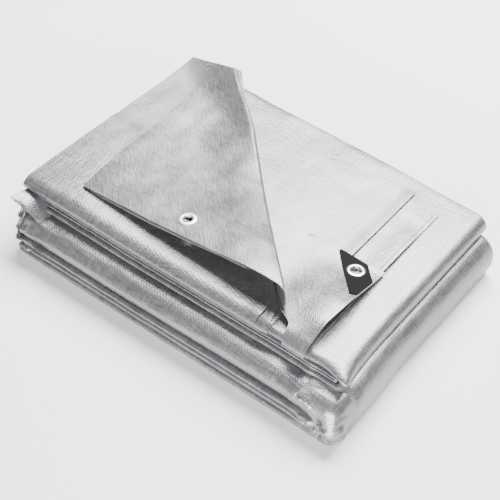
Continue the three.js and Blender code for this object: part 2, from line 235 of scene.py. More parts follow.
def back_and_forth(lines, start_x, turns, stop_x, flat_steps, turn_steps):
    """Rows of points for cloth folded back and forth along X, one line of (y, z) per pass."""
    rows = []
    x = start_x
    for number, line in enumerate(lines):
        turn = turns[number] if number < len(turns) else None
        end_x = turn.x if turn else stop_x
        for i in range(0 if number == 0 else 1, flat_steps + 1):
            at = mix(x, end_x, eased(i / flat_steps))
            rows.append([Vector((at, y, z)) for y, z in line])
        x = end_x
        if not turn:
            continue
        following = lines[number + 1]
        for i in range(1, turn_steps + 1):
            angle = math.pi * i / turn_steps
            share = smooth(i / turn_steps)
            row = []
            for (y, z), (next_y, next_z) in zip(line, following):
                half = (next_z - z) / 2
                out = turn.side * turn.bulge * abs(half) * turn_round(angle, half > 0)
                rise = half * (1 - math.cos(angle))
                row.append(Vector((x + out, mix(y, next_y, share), z + rise)))
            rows.append(row)
    return rows


def normals(rows):
    """Unit normals of a grid of points, from each point's neighbours."""
    found = []
    for r, row in enumerate(rows):
        before = rows[max(r - 1, 0)]
        after = rows[min(r + 1, len(rows) - 1)]
        line = []
        for c in range(len(row)):
            along = after[c] - before[c]
            across = row[min(c + 1, len(row) - 1)] - row[max(c - 1, 0)]
            line.append(across.cross(along).normalized())
        found.append(line)
    return found


def displaced(rows, depth_at):
    """The grid with each point moved along its normal by depth_at(point, normal)."""
    return [
        [p + out * depth_at(p, out) for p, out in zip(row, line)]
        for row, line in zip(rows, normals(rows))
    ]


HOLE_IN_CLOTH = 9.0     # radius cut from the cloth under an eyelet's flange


def over_hole(corners, holes):
    middle = sum(corners, Vector()) / len(corners)
    return any((middle - hole).xy.length < HOLE_IN_CLOTH for hole in holes)


def cloth_piece(name, rows, thick, material, holes=()):
    """A closed sheet from a grid of middle points in millimetres, with holes for eyelets. Its UV
    map is the flat cloth, in metres."""
    columns = len(rows[0])
    middle = columns // 2
    along = [0.0]
    for before, after in zip(rows, rows[1:]):
        along.append(along[-1] + (after[middle] - before[middle]).length * MM)
    across = []
    for row in rows:
        line = [0.0]
        for before, after in zip(row, row[1:]):
            line.append(line[-1] + (after - before).length * MM)
        across.append(line)
    verts = [tuple(p * MM) for row in rows for p in row]
    faces = []
    for r in range(len(rows) - 1):
        for c in range(columns - 1):
            corners = (rows[r][c], rows[r][c + 1], rows[r + 1][c + 1], rows[r + 1][c])
            if not over_hole(corners, holes):
                a = r * columns + c
                faces.append((a, a + 1, a + columns + 1, a + columns))
    mesh = bpy.data.meshes.new(name)
    mesh.from_pydata(verts, [], faces)
    uv = mesh.uv_layers.new(name="cloth")
    for loop in mesh.loops:
        r, c = divmod(loop.vertex_index, columns)
        uv.data[loop.index].uv = (along[r], across[r][c])
    mesh.materials.append(material)
    piece = bpy.data.objects.new(name, mesh)
    bpy.context.scene.collection.objects.link(piece)
    clean = bmesh.new()
    clean.from_mesh(mesh)
    bmesh.ops.delete(clean, geom=[v for v in clean.verts if not v.link_faces], context="VERTS")
    clean.to_mesh(mesh)
    clean.free()
    solid = piece.modifiers.new("thickness", "SOLIDIFY")
    solid.thickness = thick * MM
    solid.offset = 0
    activate(piece)
    bpy.ops.object.modifier_apply(modifier=solid.name)
    bpy.ops.object.shade_smooth_by_angle(angle=math.radians(50))
    return piece


def activate(piece):
    for other in bpy.context.selected_objects:
        other.select_set(False)
    piece.select_set(True)
    bpy.context.view_layer.objects.active = piece


def colour(code):
    """An sRGB hex colour, turned to linear."""
    parts = [int(code[i:i + 2], 16) / 255 for i in (1, 3, 5)]
    linear = [c / 12.92 if c <= 0.04045 else ((c + 0.055) / 1.055) ** 2.4 for c in parts]
    return (*linear, 1.0)


def add_node(tree, kind, inputs=(), **settings):
    """Adds a node with its settings, and fills or links its sockets."""
    made = tree.nodes.new(kind)
    for key, value in settings.items():
        setattr(made, key, value)
    for socket, value in dict(inputs).items():
        if isinstance(value, bpy.types.NodeSocket):
            tree.links.new(value, made.inputs[socket])
        else:
            made.inputs[socket].default_value = value
    return made


def new_material(name):
    material = bpy.data.materials.new(name)
    material.use_nodes = True
    tree = material.node_tree
    return material, tree, tree.nodes["Principled BSDF"]


TAPE = 2.1 * MM     # width of a woven tape; the real tapes are 1.5 mm, drawn coarser to be seen


def coated_weave():
    """Woven polyethylene tape cloth with a thin silver-grey coating: a satin sheen, threads that
    run both ways, and cloudy differences where the coating has rubbed in the folds."""
    material, tree, shader = new_material("coated_weave")
    place = add_node(tree, "ShaderNodeTexCoord")
    flat = add_node(tree, "ShaderNodeSeparateXYZ", {0: place.outputs["UV"]})
    waves = []
    for axis in ("X", "Y"):
        turned = add_node(tree, "ShaderNodeMath", {0: flat.outputs[axis], 1: math.pi / TAPE},
                          operation="MULTIPLY")
        waves.append(add_node(tree, "ShaderNodeMath", {0: turned.outputs[0]}, operation="SINE"))
    crossing = add_node(tree, "ShaderNodeMath",
                        {0: waves[0].outputs[0], 1: waves[1].outputs[0]}, operation="MULTIPLY")
    threads = []
    for along, across in ((55.0, 420.0), (420.0, 55.0)):
        drawn = add_node(tree, "ShaderNodeMapping",
                         {"Vector": place.outputs["UV"], "Scale": (along, across, 1.0)})
        threads.append(add_node(tree, "ShaderNodeTexNoise",
                                {"Vector": drawn.outputs[0], "Scale": 1.0, "Detail": 2.0}))
    both = add_node(tree, "ShaderNodeMath",
                    {0: threads[0].outputs["Fac"], 1: threads[1].outputs["Fac"]}, operation="ADD")
    cloud = add_node(tree, "ShaderNodeTexNoise",
                     {"Vector": place.outputs["Object"], "Scale": 11.0, "Detail": 4.0})
    mottle = add_node(tree, "ShaderNodeMath",
                      {0: cloud.outputs["Fac"], 1: 0.8, 2: both.outputs[0]},
                      operation="MULTIPLY_ADD")
    tint = add_node(tree, "ShaderNodeMapRange",
                    {"Value": mottle.outputs[0], "From Min": 1.0, "From Max": 1.8,
                     "To Min": 0.0, "To Max": 1.0})
    base = add_node(tree, "ShaderNodeMix",
                    {"Factor": tint.outputs[0], "A": colour("#6f7072"), "B": colour("#8e8f91")},
                    data_type="RGBA")
    rough = add_node(tree, "ShaderNodeMapRange",
                     {"Value": both.outputs[0], "From Min": 0.7, "From Max": 1.3,
                      "To Min": 0.3, "To Max": 0.44})
    height = add_node(tree, "ShaderNodeMath",
                      {0: crossing.outputs[0], 1: 0.22, 2: both.outputs[0]},
                      operation="MULTIPLY_ADD")
    relief = add_node(tree, "ShaderNodeBump",
                      {"Height": height.outputs[0], "Strength": 0.6, "Distance": 0.0004})
    tree.links.new(base.outputs["Result"], shader.inputs["Base Color"])
    tree.links.new(rough.outputs[0], shader.inputs["Roughness"])
    tree.links.new(relief.outputs[0], shader.inputs["Normal"])
    shader.inputs["Metallic"].default_value = 0.72
    shader.inputs["IOR"].default_value = 1.5
    return material


def moulded_polypropylene():
    """Moulded black polypropylene: matte, with a fine spark-eroded grain."""
    material, tree, shader = new_material("moulded_polypropylene")
    place = add_node(tree, "ShaderNodeTexCoord")
    grain = add_node(tree, "ShaderNodeTexNoise",
                     {"Vector": place.outputs["Object"], "Scale": 900.0, "Detail": 2.0})
    relief = add_node(tree, "ShaderNodeBump",
                      {"Height": grain.outputs["Fac"], "Strength": 0.3, "Distance": 0.0002})
    tree.links.new(relief.outputs[0], shader.inputs["Normal"])
    shader.inputs["Base Color"].default_value = colour("#0c0c0d")
    shader.inputs["Roughness"].default_value = 0.75
    shader.inputs["Specular IOR Level"].default_value = 0.12
    shader.inputs["IOR"].default_value = 1.49
    return material


def nickel_plate(name, code, rough):
    """Pressed steel with bright nickel plating: sharp light and dark rings round the flange."""
    material, tree, shader = new_material(name)
    place = add_node(tree, "ShaderNodeTexCoord")
    haze = add_node(tree, "ShaderNodeTexNoise",
                    {"Vector": place.outputs["Object"], "Scale": 300.0, "Detail": 2.0})
    dull = add_node(tree, "ShaderNodeMapRange",
                    {"Value": haze.outputs["Fac"], "To Min": rough, "To Max": rough + 0.12})
    tree.links.new(dull.outputs[0], shader.inputs["Roughness"])
    shader.inputs["Base Color"].default_value = colour(code)
    shader.inputs["Metallic"].default_value = 1.0
    return material


CLOTH = coated_weave()
PLASTIC = moulded_polypropylene()
NICKEL = nickel_plate("nickel_plate", "#d9dadb", 0.22)
# A second copy of the same nickel plating for the ring on the turned cloth: its paler, near-white
# base colour is painted highlight, so the ring reads white as it catches the light.
LIT_NICKEL_COPY = nickel_plate("nickel_plate_painted_lighter", "#f4f4f4", 0.42)


def streak(p, seed, long, wide):
    """Uneven ridges that run along X."""
    return noise.noise(Vector((p.x / long, p.y / wide, p.z / wide + seed)))


def lumps(p, seed, size):
    """Sharp-edged crumples of about the given size."""
    return 0.5 - abs(noise.noise(p / size + Vector((seed, 0, 0)))) * 2


LOBE = 10.5     # height of the folds that lie on each other at the left end


def left_lobes(p):
    """The front folds end at the left in a pile of round lobes."""
    share = ramp(-p.x, 176, 226) * ramp(-p.y, 90, 160) * ramp(p.z, 4, 14)
    wander = 7 * noise.noise(Vector((p.x / 34, p.y / 60, 4)))
    pile = 4.2 * abs(math.sin(math.pi * (p.z + wander) / LOBE)) - 2.4
    return share * (pile * (1 - ramp(p.z, 52, 64)) + 2.6 * lumps(p, 5, 19) + 1.2 * lumps(p, 3, 8))


def near_crumple(p):
    """The turn's front is crushed at the near corner."""
    share = ramp(p.x, 176, 212) * ramp(-p.y, 132, 158) * (1 - ramp(p.z, 30, 44))
    trough = bump(p.x, 182, 7) * ramp(-p.y, 126, 150) * ramp(p.z, 26, 48)
    return share * (3.6 * lumps(p, 8, 17) + 1.8 * lumps(p, 2, 8) - 4.5) - 2 * trough


def strip_depth(p, normal):
    """Fine ridges along the folds, and the crushed ends. The foot is left flat."""
    fade = 1 - 0.75 * abs(normal.x)
    fine = fade * (0.45 * streak(p, 3, 60, 9) + 0.3 * streak(p, 11, 24, 5))
    return (fine + near_crumple(p) + left_lobes(p)) * ramp(p.z, 1.5, 9)


STRIP_FLAT = 90     # steps along each pass, and round each turn
STRIP_TURN = 34


def strip_rows():
    lines = [
        [point for _, stretch in section_line(*shape) for point in stretch]
        for shape in zip(PASSES, FRONTS, BACKS)
    ]
    rows = back_and_forth(lines, START_X, TURNS, STOP_X, STRIP_FLAT, STRIP_TURN)
    return [[relax(p) for p in row] for row in rows]


def strip():
    return cloth_piece("strip", displaced(strip_rows(), strip_depth), PLY, CLOTH)


def stretch_columns(name):
    """First and last column of a named stretch of the strip's section."""
    start = 0
    for stretch, line in section_line(PASSES[0], FRONTS[0], BACKS[0]):
        if stretch == name:
            return start, start + len(line) - 1
        start += len(line)


WRAP_EDGE = 187     # the wrap's cut edge on the lower bundle, in X
WRAP_OFF = 4.2      # how far it stands off the turn
WRAP_STEPS = 12     # points from the turn's front to the free edge
WrapHem = namedtuple("WrapHem", "x front low")
WRAP_HEM = [            # its free edge in front, from the cut edge on top to the foot
    WrapHem(187, -169, 52),
    WrapHem(200, -171, 49),
    WrapHem(211, -169, 46),
    WrapHem(224, -160, 38),
    WrapHem(235, -157, 28),
    WrapHem(237, -156, 2),
]


def wrap_hem(share):
    """A place on the wrap's free edge."""
    at = clamp(share) * (len(WRAP_HEM) - 1)
    first = min(int(at), len(WRAP_HEM) - 2)
    before, after = WRAP_HEM[first:first + 2]
    part = at - first
    return Vector((mix(before.x, after.x, part), mix(before.front, after.front, part),
                   mix(before.low, after.low, part)))


def corner_wrap():
    """The outermost ply at the near corner: a loose wrap over the lower bundle's turn, with its cut
    edge on top and its free edge in front of the crushed folds."""
    rows = strip_rows()
    out = normals(rows)
    start, _ = stretch_columns("outer")
    low = start + 9         # the columns of the outer ply that the wrap covers
    high = start + 16
    picked = [r for r in range(STRIP_FLAT + 2, STRIP_FLAT + STRIP_TURN + 30)
              if rows[r][high].x > WRAP_EDGE]
    wrap = []
    for number, r in enumerate(reversed(picked)):
        share = number / (len(picked) - 1)
        line = []
        for c in range(low, high + 1):
            front = ramp(c, low, low + 5)
            outwards = Vector((1, -0.3, (rows[r][c].z - 28) / 20))
            side = -1 if out[r][c].dot(outwards) < 0 else 1
            line.append(rows[r][c] + out[r][c] * side * (WRAP_OFF * front - 0.8 * (1 - front)))
        hem = wrap_hem(ramp(share, 0.02, 0.94))
        last = line[-1]
        swell = Vector((0.3, -0.1, 0.6)) * 2.2
        for i in range(1, WRAP_STEPS + 1):
            t = i / WRAP_STEPS
            line.append(last.lerp(hem, t) + swell * math.sin(math.pi * t) * (1 - 0.5 * share))
        for p in line:
            p.z = max(p.z, PLY)
        wrap.append(line)
    return cloth_piece("corner_wrap", displaced(wrap, wrap_depth), PLY, CLOTH)


def wrap_depth(p, normal):
    return 0.35 * lumps(p, 7, 16) * ramp(-p.y, 120, 150)


# The third pass ends at the front left in a tongue that is pushed out: its root under the upper
# folds, its pointed rim and the lip turned in below it, each from the left to the right.
TONGUE_ROOT = [Vector((-246, -128, 72)), Vector((-226, -130, 70)), Vector((-206, -134, 60))]
TONGUE_RIM = [Vector((-246, -165, 82)), Vector((-226, -159, 67)), Vector((-204, -154, 48))]
TONGUE_LIP = [Vector((-241, -146, 66)), Vector((-224, -142, 58)), Vector((-203, -146, 47))]
TONGUE_STEPS = 24
TONGUE_COLUMNS = 14
LIP_COLUMNS = 5


def bent(points, t):
    """A place on the curve through three points."""
    first, middle, last = points
    return first * (1 - t) * (1 - 2 * t) + middle * 4 * t * (1 - t) + last * t * (2 * t - 1)


def front_tongue():
    rows = []
    for i in range(TONGUE_STEPS + 1):
        t = i / TONGUE_STEPS
        root, rim, lip = (bent(points, t) for points in (TONGUE_ROOT, TONGUE_RIM, TONGUE_LIP))
        row = []
        for j in range(TONGUE_COLUMNS + 1):
            part = j / TONGUE_COLUMNS
            swell = Vector((0, -0.3, 0.7)) * 1.8 * math.sin(math.pi * j / TONGUE_COLUMNS)
            row.append(root.lerp(rim, part) + swell)
        for j in range(1, LIP_COLUMNS + 1):
            part = j / LIP_COLUMNS
            swell = Vector((0, -1.2, -1)) * math.sin(math.pi * j / LIP_COLUMNS)
            row.append(rim.lerp(lip, part) + swell)
        rows.append(row)
    return cloth_piece("front_tongue", displaced(rows, tongue_depth), PLY, CLOTH)


def tongue_depth(p, normal):
    return 0.7 * lumps(p, 9, 18) + 0.3 * lumps(p, 4, 7)


TUBE_PATH = [           # middle of the crushed roll at the near corner, as (x, z)
    (187, 47), (200, 45), (210, 39), (215, 28), (213, 17), (205, 9), (193, 6),
]
TUBE_FRONT = -168
TUBE_ROUND = 5.2
TUBE_OPEN = 0.8         # share of a full round that the roll closes to
TUBE_STEPS = 60
TUBE_COLUMNS = 24
TUBE_PLY = 0.8


def along_path(path, t):
    """A place on a smooth line through the points of a path."""
    at = clamp(t) * (len(path) - 1)
    i = min(int(at), len(path) - 2)
    part = at - i
    before, a, b, after = (path[clamp_index(j, len(path))] for j in range(i - 1, i + 3))
    return [0.5 * (2 * q + (r - p) * part + (2 * p - 5 * q + 4 * r - s) * part ** 2
                   + (3 * q - p - 3 * r + s) * part ** 3)
            for p, q, r, s in zip(before, a, b, after)]


def clamp_index(i, length):
    return min(max(i, 0), length - 1)


def crushed_roll():
    """Folds of the near corner that are crushed to a soft open roll."""
    rows = []
    for i in range(TUBE_STEPS + 1):
        t = i / TUBE_STEPS
        x, z = along_path(TUBE_PATH, t)
        next_x, next_z = along_path(TUBE_PATH, t + 0.02)
        last_x, last_z = along_path(TUBE_PATH, t - 0.02)
        ahead = Vector((next_x - last_x, 0, next_z - last_z)).normalized()
        side = Vector((-ahead.z, 0, ahead.x))
        size = TUBE_ROUND * (0.75 + 0.35 * math.sin(math.pi * t))
        row = []
        for j in range(TUBE_COLUMNS + 1):
            angle = mix(-TUBE_OPEN, TUBE_OPEN, j / TUBE_COLUMNS) * math.pi
            row.append(Vector((x, TUBE_FRONT, z)) + side * size * math.sin(angle)
                       + Vector((0, -size * math.cos(angle), 0)))
        rows.append(row)
    return cloth_piece("crushed_roll", displaced(rows, roll_depth), TUBE_PLY, CLOTH)


def roll_depth(p, normal):
    return 1.5 * lumps(p, 12, 12) + 0.8 * lumps(p, 6, 5)


def top_line(above, back_y, hang, flat_steps, round_steps=14):
    """(y, z) of a sheet that lies on the top pass, from its back edge over the front fold."""
    ply = PASSES[3]
    front = FRONTS[3]
    half = (ply.outer - ply.third) / 2
    middle = (ply.outer + ply.third) / 2
    flat_end = front.outer_tip + front.outer_deep
    line = straight(back_y, flat_end, ply.outer + above, flat_steps)
    lowest = math.asin((middle - hang) / (half + above))
    for i in range(1, round_steps + 1):
        angle = mix(math.pi / 2, -lowest, i / round_steps)
        line.append((flat_end - (front.outer_deep + above) * math.cos(angle),
                     middle + (half + above) * math.sin(angle)))
    return line


FAR_SLOPE = 0.29        # how steeply the turned cloth falls away from the roll's top
FAR_SHIFT = 16          # the fold bends to the left at its far end


def highest(a, b, soft=9):
    """The greater of two heights, with the corner between them rounded."""
    part = clamp(0.5 + (a - b) / (2 * soft))
    return mix(b, a, part) + soft * part * (1 - part)


def roll_top(y):
    """Height of the roll's top."""
    along = clamp((y - FOLD_NEAR) / (FOLD_FAR - FOLD_NEAR))
    return lip_height(y) + 2 * roll_radius(along)


def far_shift(y):
    return FAR_SHIFT * ramp(y, 95, FOLD_FAR)


def slope_from_roll(x, y):
    """Height of the turned cloth where it falls from the roll to its left edge."""
    return roll_top(y) - FAR_SLOPE * max(FOLD_LINE - y - far_shift(y) - x, 0)


END_STEPS = 90          # steps along a ply of the strip's end
MIDDLE_END = 116        # where the middle ply is cut, in X


def end_ply(name, sheet, number, lip=0.0, slant=0.0, short=0.0):
    """A ply of the strip's end, from its turn at the left to its cut end. lip lifts the cut end,
    slant turns it out of square, and short draws it back over the front fold."""
    below = 0 if number == 0 else ABOVE[number - 1]
    root_back = min(sheet.back, 120) - 4
    root = top_line(below + 0.3, root_back, PASSES[3].outer + below - 0.1, 40)
    run = top_line(ABOVE[number], sheet.back, sheet.hang, 40)
    turn = Turn(STOP_X - 1 - ROOT_APART * number, -1, 1)
    rows = back_and_forth([root, run], turn.x + ROOT_LONG, [turn], sheet.end, END_STEPS, 6)
    for row in rows:
        for p in row:
            p.z += lip * ramp(p.x, sheet.end - 18, sheet.end)
            back = slant * (p.y + 124) + short * ramp(-p.y, 55, 112)
            p.x -= back * ramp(p.x, 0, sheet.end)
    rows = [[relax(p) for p in row] for row in rows]
    return cloth_piece(name, rows, PLY, CLOTH)


def nose_share(y):
    """How far a place is round the top pass's front fold, from 0 where it starts to 1."""
    front = FRONTS[3]
    return clamp((front.outer_tip + front.outer_deep - y) / front.outer_deep)


FOLDED_END = 103        # where the folded ply is cut in front, in X
FOLDED_BACK = 172
FOLDED_STEPS = 84


def folded_ply():
    """The lower layer of the turned ply: it ends at the fold, and at its cut end in front."""
    sheet = END_SHEETS[2]._replace(end=FOLDED_END, back=FOLDED_BACK)
    turn_x = STOP_X - 1 - ROOT_APART * 2
    line = top_line(0, sheet.back, sheet.hang, 56)
    rows = []
    for i in range(FOLDED_STEPS + 1):
        row = []
        for y, z in line:
            above = mix(TURNED_ABOVE, SECOND_ABOVE, ramp(y, 14, 30))
            right = min(sheet.end, FOLD_LINE - y - 4)
            x = mix(turn_x, right, i / FOLDED_STEPS)
            nose = nose_share(y)
            off = above * 0.8 * math.sqrt(nose)
            lip = 1.4 * ramp(i, FOLDED_STEPS - 5, FOLDED_STEPS)
            height = z + above * (1 - 0.5 * nose) + lip
            raised = highest(height, slope_from_roll(x, y) - HEM - APART)
            height = mix(height, raised, ramp(y, 40, 110))
            row.append(relax(Vector((x, y - off, height))))
        rows.append(row)
    return cloth_piece("folded_ply", rows, PLY, CLOTH)


HEM_STRIP = 1.2     # thickness of the hem that lies on the lower end ply
WELD = 5.5          # the weld's first line runs this far inside the hem's outer edge
WELD_LINES = 2.2    # distance between its two lines
WELD_WIDE = 0.7
WELD_DEEP = 0.35
BACK_HEM = 26       # width of the hem along the tarp's side


def hem_xs(x0, x1):
    """Places across a hem strip, closer together at the weld."""
    coarse = [mix(x0, x1 - 12, i / 12) for i in range(12)]
    return coarse + [x1 - 12 + 0.5 * i for i in range(25)]


def weld(x, edge):
    """Two thin lines of the weld, pressed into the hem."""
    return -WELD_DEEP * (bump(x, edge - WELD, WELD_WIDE)
                         + bump(x, edge - WELD - WELD_LINES, WELD_WIDE))


def hem_strip():
    """The lower end ply's hem: it lies a little lower than the ply's cut end, and its outer edge
    stands off the bundle."""
    line = top_line(HEM_ABOVE - 0.3, HEM_BACK, HEM_HANG, 70)
    rows = []
    for x in hem_xs(HEM_IN + 2, HEM_OUT):
        row = []
        for y, z in line:
            off = 3.4 * ramp(x, HEM_OUT - 34, HEM_OUT) * ramp(-y, -128, -40) * ramp(y, -135, -100)
            side = 0.5 * ramp(y, HEM_BACK - BACK_HEM - 1, HEM_BACK - BACK_HEM + 1)
            start = 14 * (1 - (x - HEM_IN) / (HEM_OUT - HEM_IN)) * ramp(-y, 85, 112)
            row.append(relax(Vector((x + start, y, z + off + side + weld(x, HEM_OUT)))))
        rows.append(row)
    return cloth_piece("hem", rows, HEM_STRIP, CLOTH)


CORNER_STEPS = 44
CORNER_LIFT = 16.0          # how far the tarp's corner stands up in front
CORNER_EDGE = 15.0          # where the tarp's own edge meets the corner, in Y
CORNER_EDGE_SLOPE = 0.075


def corner_lift(x, y):
    """How far the corner's ply stands off the hem below it."""
    forward = ramp(-y, -8, 75) * (1 - 0.75 * ramp(-y, 95, 138))
    return CORNER_LIFT * ramp(x, 84, CORNER_OUT) * (0.06 + 0.94 * forward)


def corner_height(x, y):
    """Middle of the corner's ply."""
    above = mix(SECOND_ABOVE + PLY + APART, CORNER_ABOVE + 0.2, ramp(x, 122, 140))
    return PASSES[3].outer + above + corner_lift(x, y)


def corner_ply():
    """The upper end ply: the tarp's own corner, which goes on under the roll into the turned
    cloth."""
    line = top_line(0, CORNER_BACK, CORNER_HANG, 64)
    ply_top = PASSES[3].outer
    coarse = [i / CORNER_STEPS for i in range(CORNER_STEPS)]
    at_the_weld = [1 - 0.0032 * i for i in range(24, -1, -1)]
    rows = []
    for share in coarse + at_the_weld:
        row = []
        for y, z in line:
            left = mix(FOLD_LINE - y - 3, 137 - 0.3 * (y + 121), ramp(-y, 108, 124))
            x = mix(left, CORNER_OUT - 4 * ramp(-y, 60, 140), share)
            above = corner_height(x, y) - ply_top
            nose = nose_share(y)
            out = above * math.sqrt(nose) * 0.8
            edge = CORNER_EDGE - CORNER_EDGE_SLOPE * (CORNER_OUT - x) - CORNER_BACK
            shift = edge * ramp(y, -45, CORNER_BACK)
            height = z + above * (1 - 0.45 * nose) + weld(x, CORNER_OUT) * ramp(-y, -20, 20)
            row.append(relax(Vector((x, y + shift - out, height))))
        rows.append(row)
    hole = relax(Vector((*EYELET_END, 0)))
    return cloth_piece("corner_ply", rows, HEM, CLOTH, holes=[hole])


ROLL_STEPS = 18
TURNED_STEPS = 62
TURNED_COLUMNS = 110
TURNED_RUN = 208    # from the roll to the turned cloth's tip, square to the fold
ROLL_OUT = 4.0      # the roll is flatter from side to side than it is high


def roll_radius(t):
    """Half the roll's height, at a share of its length from the near end."""
    if t < 0.5:
        return mix(ROLL_NEAR, ROLL_MIDDLE, smooth(t / 0.5))
    return mix(ROLL_MIDDLE, ROLL_FAR, t * 2 - 1)


def lip_height(y):
    """Height of the cloth where the roll starts: it steps up over the edges of the plies below."""
    rise = PLY + APART
    height = ROLL_START
    for sheet in END_SHEETS[1:]:
        height += rise * smooth(clamp((sheet.back + 24 - y) / 18))
    return height


def turned_height(away, y):
    """Height of the turned cloth, by its distance from the fold: lifted near its front edge."""
    up = TURNED_SPRING + LIFT * bump(y, TURNED_NEAR, LIFT_WIDE)
    return TURNED_REST + up * (1 - away / TURNED_LONG)


def turned_at(x, y):
    return turned_height((FOLD_LINE - x - y) / math.sqrt(2), y)


def turned_point(row, along):
    """A point of the turned cloth: first round the roll, then away from it to the left edge."""
    if row <= ROLL_STEPS:
        angle = math.pi * row / ROLL_STEPS
        share = angle / math.pi
        near_y = FOLD_NEAR + share * (TURNED_NEAR - FOLD_NEAR - 2)
        far_y = FOLD_FAR - share * 2
        y = mix(near_y, far_y, along)
        radius = roll_radius(along)
        out = ROLL_OUT * math.sin(angle) / math.sqrt(2)
        x = FOLD_LINE - y - far_shift(y) + out
        return Vector((x, y + out, lip_height(y) + radius * (1 - math.cos(angle))))
    away = mix(0, TURNED_RUN, (row - ROLL_STEPS) / TURNED_STEPS)
    level = FOLD_LINE - math.sqrt(2) * away
    corner = TURNED_LEFT + TURNED_SLANT * TURNED_NEAR
    far_y = min((level - corner) / (1 - TURNED_SLANT), FOLD_FAR - 2)
    y = mix(TURNED_NEAR, max(far_y, TURNED_NEAR + 3), along)
    x = level - y - far_shift(y) * (1 - clamp(away / 50))
    top = lip_height(y) + 2 * roll_radius(along)
    down = smooth(clamp(away / 70))
    near_rest = mix(top, turned_height(away, y), down)
    far_rest = highest(turned_height(away, y), slope_from_roll(x, y))
    return Vector((x, y, mix(near_rest, far_rest, ramp(y, 40, 110))))


def turned_corner():
    rows = [
        [relax(turned_point(r, c / TURNED_COLUMNS)) for c in range(TURNED_COLUMNS + 1)]
        for r in range(ROLL_STEPS + TURNED_STEPS + 1)
    ]
    return cloth_piece("turned_cloth", rows, HEM, CLOTH, holes=[turned_eyelet_place()])


TURNED_HEM = 24     # width of the hem under the turned cloth's near edge
TURNED_HEM_PLY = 0.6
TURNED_HEM_STEPS = 90
TURNED_HEM_RIGHT = 66


def turned_hem():
    """The hem that is folded under along the turned cloth's near edge: its ply hangs a little below
    it and comes back to it deeper in."""
    section = [(1 - i / 8, 0) for i in range(8)]
    section += [(-0.03 * math.sin(math.pi * i / 6), i / 6) for i in range(7)]
    section += [(i / 8, 1 + 0.6 * i / 8) for i in range(1, 9)]
    rows = []
    for i in range(TURNED_HEM_STEPS + 1):
        share = i / TURNED_HEM_STEPS
        x = mix(TURNED_LEFT + 12, TURNED_HEM_RIGHT, share)
        sag = 4.6 * math.sin(math.pi * clamp(share * 1.2)) ** 0.7 * (1 - 0.6 * share)
        row = []
        for deep, level in section:
            y = TURNED_NEAR + 1.2 + TURNED_HEM * deep
            under = turned_at(x, y) - HEM - 0.4
            drop = (0.6 + 0.55 * level) * sag * (1 - deep) + 1.1 * level * (1 - 0.7 * deep)
            row.append(relax(Vector((x, y, under - drop))))
        rows.append(row)
    return cloth_piece("turned_hem", rows, TURNED_HEM_PLY, CLOTH)


def turned_eyelet_place():
    x, y = EYELET_TURNED
    return relax(Vector((x, y, turned_at(x, y))))


PATCH_OFF = 0.15    # the patch lies this far over its ply
PATCH_TIP = 3.0
PATCH_END = 8.0     # width of the blunt end of the patch at the tarp's edge


def corner_patch():
    """A plate with its inner side cut at 45 degrees and its outer corner cut off, laid on the
    ply."""
    x1 = CORNER_OUT - PATCH_IN
    y1 = CORNER_BACK - PATCH_IN
    x0 = x1 - PATCH_LEG_X
    y0 = y1 - PATCH_LEG_Y
    for other in bpy.context.selected_objects:
        other.select_set(False)
    bpy.ops.mesh.primitive_grid_add(
        x_subdivisions=40, y_subdivisions=40, size=1,
        location=((x0 + x1) / 2 * MM, (y0 + y1) / 2 * MM, 0))
    plate = bpy.context.active_object
    plate.name = "patch"
    plate.scale = (PATCH_LEG_X * MM, PATCH_LEG_Y * MM, 1)
    bpy.ops.object.transform_apply(location=True, rotation=True, scale=True)
    bpy.ops.object.mode_set(mode="EDIT")
    inner = Vector((1 - PATCH_LEG_Y, PATCH_END - PATCH_LEG_X, 0)).normalized()
    cuts = [
        (Vector((x0, y1 - 1, 0)), inner),
        (Vector((x1 - PATCH_CUT, y1, 0)), Vector((1, 1, 0)).normalized()),
        (Vector((x0 + PATCH_TIP, y1, 0)), Vector((-1, 0.3, 0)).normalized()),
        (Vector((x1, y0 + PATCH_TIP, 0)), Vector((0.4, -1, 0)).normalized()),
    ]
    for at, away in cuts:
        bpy.ops.mesh.select_all(action="SELECT")
        bpy.ops.mesh.bisect(plane_co=at * MM, plane_no=away, clear_outer=True)
    bpy.ops.object.mode_set(mode="OBJECT")
    solid = plate.modifiers.new("thickness", "SOLIDIFY")
    solid.thickness = PATCH * MM
    solid.offset = 1
    rounded = plate.modifiers.new("edges", "BEVEL")
    rounded.width = 0.35 * MM
    rounded.segments = 2
    bpy.ops.object.modifier_apply(modifier=solid.name)
    bpy.ops.object.modifier_apply(modifier=rounded.name)
    cut_hole(plate, EYELET_END, EYELET_HOLE / 2 + 0.8)
    for vert in plate.data.vertices:
        x, y, z = vert.co / MM
        on = corner_height(x, y) + HEM / 2 + PATCH_OFF
        vert.co = relax(Vector((x, y, on + z))) * MM
    plate.data.materials.append(PLASTIC)
    bpy.ops.object.shade_smooth_by_angle(angle=math.radians(40))
    return plate


def cut_hole(piece, at, radius):
    bpy.ops.mesh.primitive_cylinder_add(vertices=48, radius=radius * MM, depth=0.03,
                                        location=(at[0] * MM, at[1] * MM, 0))
    pin = bpy.context.active_object
    cut = piece.modifiers.new("hole", "BOOLEAN")
    cut.object = pin
    cut.operation = "DIFFERENCE"
    activate(piece)
    bpy.ops.object.modifier_apply(modifier=cut.name)
    bpy.data.objects.remove(pin)


FLANGE = [      # the flange's profile, as its distance from the middle and height over the cloth
    (6.3, 0.6), (6.7, 1.15), (7.5, 1.45), (8.6, 1.5), (10.0, 1.25), (11.3, 0.75), (11.75, 0.1),
]
EYELET_WALL = 0.5
CORNER_BARREL = 5.5     # how far each eyelet's barrel reaches below its cloth's top
TURNED_BARREL = 2.2


